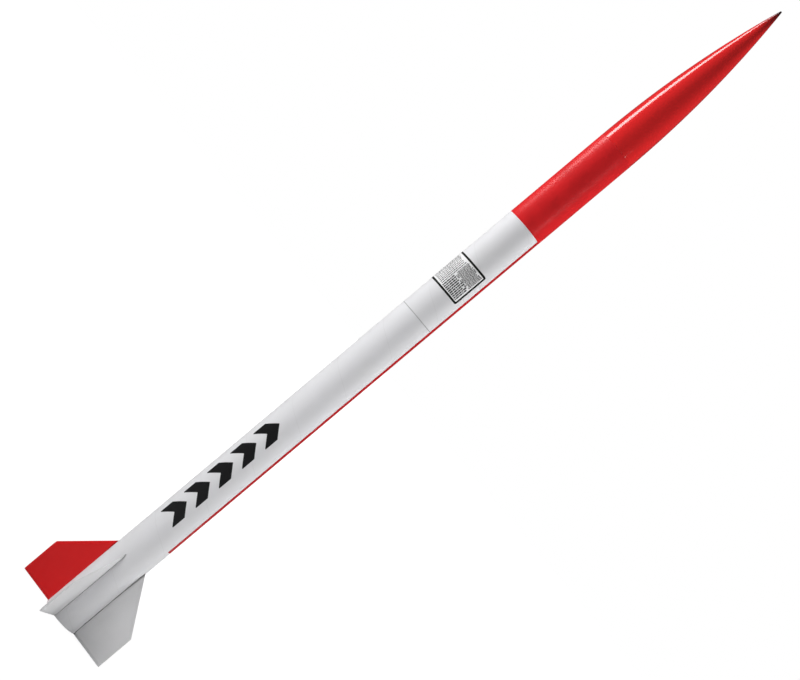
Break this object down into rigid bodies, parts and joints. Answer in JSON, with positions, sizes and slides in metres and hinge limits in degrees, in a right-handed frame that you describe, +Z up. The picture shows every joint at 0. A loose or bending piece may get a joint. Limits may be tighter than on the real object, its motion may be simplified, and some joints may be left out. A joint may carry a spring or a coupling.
{
  "type": "model rocket",
  "caption": "Tall slender model rocket with a pointed ogive nose that slides off on its recovery cord, swept fins, a sprung motor hook and launch lugs.",
  "frame": {"origin": "centre of the tail end, in the plane the fins' trailing edges and the tube's end share", "axes": "+Z up the body to the nose tip; -Y through the front white fin, under the markings; -X through the red fin"},
  "size_m": [0.1994, 0.1994, 1.4607],
  "materials": {
    "white_tube": "smooth white lacquered paper tube",
    "kraft_tube": "bare spiral-wound kraft paper",
    "plywood": "bare birch plywood",
    "fin_white": "sealed and painted white",
    "fin_red": "sealed and painted red",
    "nose_red": "gloss red moulding",
    "plug_plastic": "moulded, matt",
    "steel": "zinc plated",
    "spring_steel": "bare spring steel",
    "brass": "polished",
    "band_film": "polyester band",
    "elastic": "woven elastic",
    "canopy_nylon": "ripstop nylon",
    "line_thread": "braided thread",
    "red_film": "satin red vinyl",
    "white_film": "gloss white vinyl",
    "black_film": "gloss black vinyl",
    "black_print": "printed ink"
  },
  "bodies": {
    "airframe": {"lower_body_tube": "white_tube", "upper_body_tube": "white_tube", "tube_coupler": "kraft_tube", "fin_red": "fin_red", "fin_front": "fin_white", "fin_right": "fin_white", "fin_back": "fin_white", "centering_ring_aft": "plywood", "centering_ring_forward": "plywood", "motor_mount_tube": "kraft_tube", "thrust_ring": "kraft_tube", "hook_retaining_band": "band_film", "baffle_plate_aft": "plywood", "baffle_plate_forward": "plywood", "anchor_eye_bolt": "steel", "anchor_washer": "steel", "anchor_nut": "steel", "shock_cord": "elastic", "launch_lug_aft": "white_tube", "launch_lug_forward": "white_tube", "nose_end_wrap": "red_film", "side_stripe": "red_film", "data_panel": "white_film", "data_panel_print": "black_print", "body_markings": "black_film"},
    "nose": {"nose_cone": "nose_red", "nose_base_plug": "plug_plastic", "nose_eye_bolt": "steel", "nose_washer": "steel", "nose_nut": "steel", "swivel_barrel": "brass"},
    "swivel": {"swivel_snap": "steel", "shroud_lines": "line_thread"},
    "parachute": {"parachute_canopy": "canopy_nylon"},
    "hook": {"motor_hook": "spring_steel"}
  },
  "joints": [
    {"name": "nose_slide", "type": "slide", "parent": "airframe", "child": "nose", "axis": [0, 0, 1], "range_m": [0, 0.25], "deforming": ["shock_cord"]},
    {"name": "swivel_spin", "type": "hinge", "parent": "nose", "child": "swivel", "pos_m": [0, 0, 1.03], "axis": [0, 0, 1], "continuous": true},
    {"name": "parachute_lag", "type": "slide", "parent": "swivel", "child": "parachute", "axis": [0, 0, -1], "range_m": [0, 0.03], "deforming": ["shroud_lines"]},
    {"name": "hook_flex", "type": "hinge", "parent": "airframe", "child": "hook", "pos_m": [0.01131, -0.01131, 0.1425], "axis": [-0.7071, -0.7071, 0], "range_deg": [0, 1.6], "stiffness_Nm_per_rad": 1.2}
  ],
  "couplings": [
    {"joint": "parachute_lag", "follows": "nose_slide", "ratio": 0.12}
  ]
}
